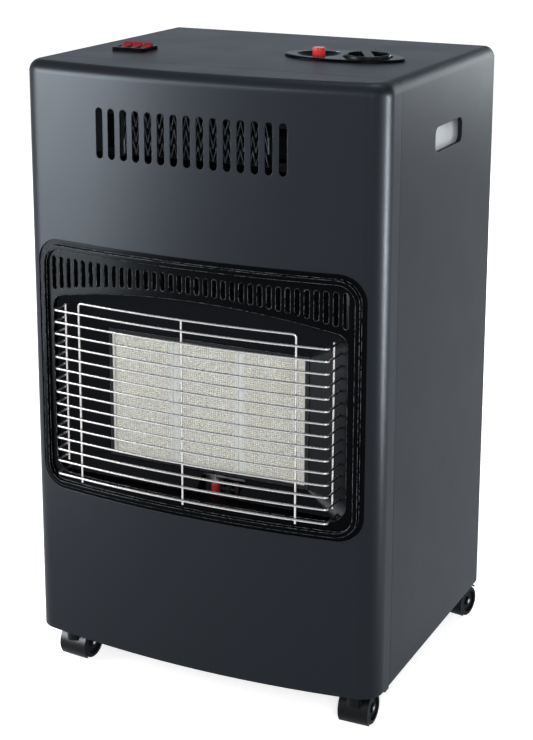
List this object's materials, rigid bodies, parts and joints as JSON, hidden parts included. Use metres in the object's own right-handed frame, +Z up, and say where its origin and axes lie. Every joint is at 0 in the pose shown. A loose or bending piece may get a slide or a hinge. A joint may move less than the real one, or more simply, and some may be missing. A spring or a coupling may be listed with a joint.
{
  "type": "portable gas cabinet heater",
  "caption": "Upright castored cabinet heater with a wire-guarded radiant burner, an electric fan heater behind slots, rocker switches, a gas knob and a lift-off rear cover",
  "frame": {"origin": "middle of the bounding box on the floor", "axes": "+Z up, the user stands on the -Y side, +X is to the user's right"},
  "size_m": [0.432, 0.4292, 0.736],
  "materials": {
    "base_tray": "satin black",
    "burner_body": "plain",
    "burner_surround": "gloss black",
    "cabinet_shell": "fine textured black powder coat",
    "cable_gland": "plain",
    "castor_axle_front_left": "plain",
    "castor_axle_front_right": "plain",
    "castor_axle_rear_left": "plain",
    "castor_axle_rear_right": "plain",
    "castor_hood_front_left": "satin black",
    "castor_hood_front_right": "satin black",
    "castor_hood_rear_left": "satin black",
    "castor_hood_rear_right": "satin black",
    "castor_sockets": "galvanised",
    "castor_wheels_front_left": "plain",
    "castor_wheels_front_right": "plain",
    "castor_wheels_rear_left": "plain",
    "castor_wheels_rear_right": "plain",
    "ceramic_plaque_centre": "matt, finely perforated",
    "ceramic_plaque_left": "matt, finely perforated",
    "ceramic_plaque_right": "matt, finely perforated",
    "control_bezel": "satin black",
    "control_knob": "satin black",
    "electrode_boot": "red silicone",
    "element_frame": "mica",
    "fan_housing": "galvanised",
    "fan_motor": "laminated",
    "fan_wheel": "plain",
    "front_panel": "fine textured black powder coat",
    "gas_pipes": "drawn",
    "gas_valve": "die cast",
    "gasket_strips": "pale fibre",
    "heat_shield": "galvanised",
    "heating_element": "resistance ribbon",
    "hose_nozzle": "turned",
    "igniter_body": "plain",
    "igniter_button": "red",
    "injector_rail": "galvanised",
    "injectors": "turned",
    "mixer_tubes": "plain",
    "pilot_bracket": "plain",
    "pilot_burner": "turned",
    "pilot_pipe": "drawn",
    "plaque_retainer": "heat darkened",
    "push_collar": "plain",
    "rear_cover": "fine textured black powder coat",
    "reflector": "heat darkened",
    "rocker_switch_left": "red",
    "rocker_switch_middle": "red",
    "rocker_switch_right": "red",
    "side_liner_left": "galvanised",
    "side_liner_right": "galvanised",
    "spark_electrode": "white",
    "switch_bezel": "satin black",
    "switch_bodies": "plain",
    "thermocouple": "copper coloured",
    "upper_back_panel": "fine textured black powder coat",
    "upper_deck": "galvanised",
    "valve_spindle": "turned",
    "wire_guard": "bright"
  },
  "bodies": {
    "cabinet": {"base_tray": "base_tray", "burner_body": "burner_body", "burner_surround": "burner_surround", "cabinet_shell": "cabinet_shell", "cable_gland": "cable_gland", "castor_sockets": "castor_sockets", "ceramic_plaque_centre": "ceramic_plaque_centre", "ceramic_plaque_left": "ceramic_plaque_left", "ceramic_plaque_right": "ceramic_plaque_right", "control_bezel": "control_bezel", "electrode_boot": "electrode_boot", "element_frame": "element_frame", "fan_housing": "fan_housing", "fan_motor": "fan_motor", "front_panel": "front_panel", "gas_pipes": "gas_pipes", "gas_valve": "gas_valve", "gasket_strips": "gasket_strips", "heat_shield": "heat_shield", "heating_element": "heating_element", "hose_nozzle": "hose_nozzle", "igniter_body": "igniter_body", "injector_rail": "injector_rail", "injectors": "injectors", "mixer_tubes": "mixer_tubes", "pilot_bracket": "pilot_bracket", "pilot_burner": "pilot_burner", "pilot_pipe": "pilot_pipe", "plaque_retainer": "plaque_retainer", "reflector": "reflector", "side_liner_left": "side_liner_left", "side_liner_right": "side_liner_right", "spark_electrode": "spark_electrode", "switch_bezel": "switch_bezel", "switch_bodies": "switch_bodies", "thermocouple": "thermocouple", "upper_back_panel": "upper_back_panel", "upper_deck": "upper_deck", "wire_guard": "wire_guard"},
    "rear_cover": {"rear_cover": "rear_cover"},
    "fan": {"fan_wheel": "fan_wheel"},
    "knob_plunger": {"push_collar": "push_collar"},
    "knob": {"control_knob": "control_knob", "valve_spindle": "valve_spindle"},
    "igniter_button": {"igniter_button": "igniter_button"},
    "rocker_left": {"rocker_switch_left": "rocker_switch_left"},
    "rocker_middle": {"rocker_switch_middle": "rocker_switch_middle"},
    "rocker_right": {"rocker_switch_right": "rocker_switch_right"},
    "castor_front_left": {"castor_hood_front_left": "castor_hood_front_left"},
    "wheels_front_left": {"castor_wheels_front_left": "castor_wheels_front_left", "castor_axle_front_left": "castor_axle_front_left"},
    "castor_front_right": {"castor_hood_front_right": "castor_hood_front_right"},
    "wheels_front_right": {"castor_wheels_front_right": "castor_wheels_front_right", "castor_axle_front_right": "castor_axle_front_right"},
    "castor_rear_left": {"castor_hood_rear_left": "castor_hood_rear_left"},
    "wheels_rear_left": {"castor_wheels_rear_left": "castor_wheels_rear_left", "castor_axle_rear_left": "castor_axle_rear_left"},
    "castor_rear_right": {"castor_hood_rear_right": "castor_hood_rear_right"},
    "wheels_rear_right": {"castor_wheels_rear_right": "castor_wheels_rear_right", "castor_axle_rear_right": "castor_axle_rear_right"}
  },
  "joints": [
    {"name": "rear_cover_lift_off", "type": "slide", "parent": "cabinet", "child": "rear_cover", "axis": [0, 1, 0], "range_m": [0, 0.4]},
    {"name": "fan_spin", "type": "hinge", "parent": "cabinet", "child": "fan", "pos_m": [0, -0.12137, 0.656], "axis": [1, 0, 0], "continuous": true},
    {"name": "knob_press", "type": "slide", "parent": "cabinet", "child": "knob_plunger", "axis": [0, 0, -1], "range_m": [0, 0.005], "stiffness_N_per_m": 400, "springref_m": -0.005},
    {"name": "knob_turn", "type": "hinge", "parent": "knob_plunger", "child": "knob", "pos_m": [0.126, -0.00937, 0.726], "axis": [0, 0, 1], "range_deg": [0, 240]},
    {"name": "igniter_press", "type": "slide", "parent": "cabinet", "child": "igniter_button", "axis": [0, 0, -1], "range_m": [0, 0.006], "stiffness_N_per_m": 300, "springref_m": -0.004},
    {"name": "rocker_left_tilt", "type": "hinge", "parent": "cabinet", "child": "rocker_left", "pos_m": [-0.1575, -0.05287, 0.725], "axis": [-1, 0, 0], "range_deg": [0, 24]},
    {"name": "rocker_middle_tilt", "type": "hinge", "parent": "cabinet", "child": "rocker_middle", "pos_m": [-0.1445, -0.05287, 0.725], "axis": [-1, 0, 0], "range_deg": [0, 24]},
    {"name": "rocker_right_tilt", "type": "hinge", "parent": "cabinet", "child": "rocker_right", "pos_m": [-0.1315, -0.05287, 0.725], "axis": [-1, 0, 0], "range_deg": [0, 24]},
    {"name": "castor_front_left_swivel", "type": "hinge", "parent": "cabinet", "child": "castor_front_left", "pos_m": [-0.182, -0.15538, 0.05], "axis": [0, 0, 1], "continuous": true},
    {"name": "wheels_front_left_spin", "type": "hinge", "parent": "castor_front_left", "child": "wheels_front_left", "pos_m": [-0.18052, -0.13844, 0.0185], "axis": [0.9962, -0.0872, 0], "continuous": true},
    {"name": "castor_front_right_swivel", "type": "hinge", "parent": "cabinet", "child": "castor_front_right", "pos_m": [0.182, -0.15538, 0.05], "axis": [0, 0, 1], "continuous": true},
    {"name": "wheels_front_right_spin", "type": "hinge", "parent": "castor_front_right", "child": "wheels_front_right", "pos_m": [0.1817, -0.13838, 0.0185], "axis": [0.9998, 0.0175, 0], "continuous": true},
    {"name": "castor_rear_left_swivel", "type": "hinge", "parent": "cabinet", "child": "castor_rear_left", "pos_m": [-0.186, 0.15013, 0.05], "axis": [0, 0, 1], "continuous": true},
    {"name": "wheels_rear_left_spin", "type": "hinge", "parent": "castor_rear_left", "child": "wheels_rear_left", "pos_m": [-0.19097, 0.16638, 0.0185], "axis": [0.9563, 0.2924, 0], "continuous": true},
    {"name": "castor_rear_right_swivel", "type": "hinge", "parent": "cabinet", "child": "castor_rear_right", "pos_m": [0.186, 0.15013, 0.05], "axis": [0, 0, 1], "continuous": true},
    {"name": "wheels_rear_right_spin", "type": "hinge", "parent": "castor_rear_right", "child": "wheels_rear_right", "pos_m": [0.18895, 0.16687, 0.0185], "axis": [0.9848, -0.1736, 0], "continuous": true}
  ]
}
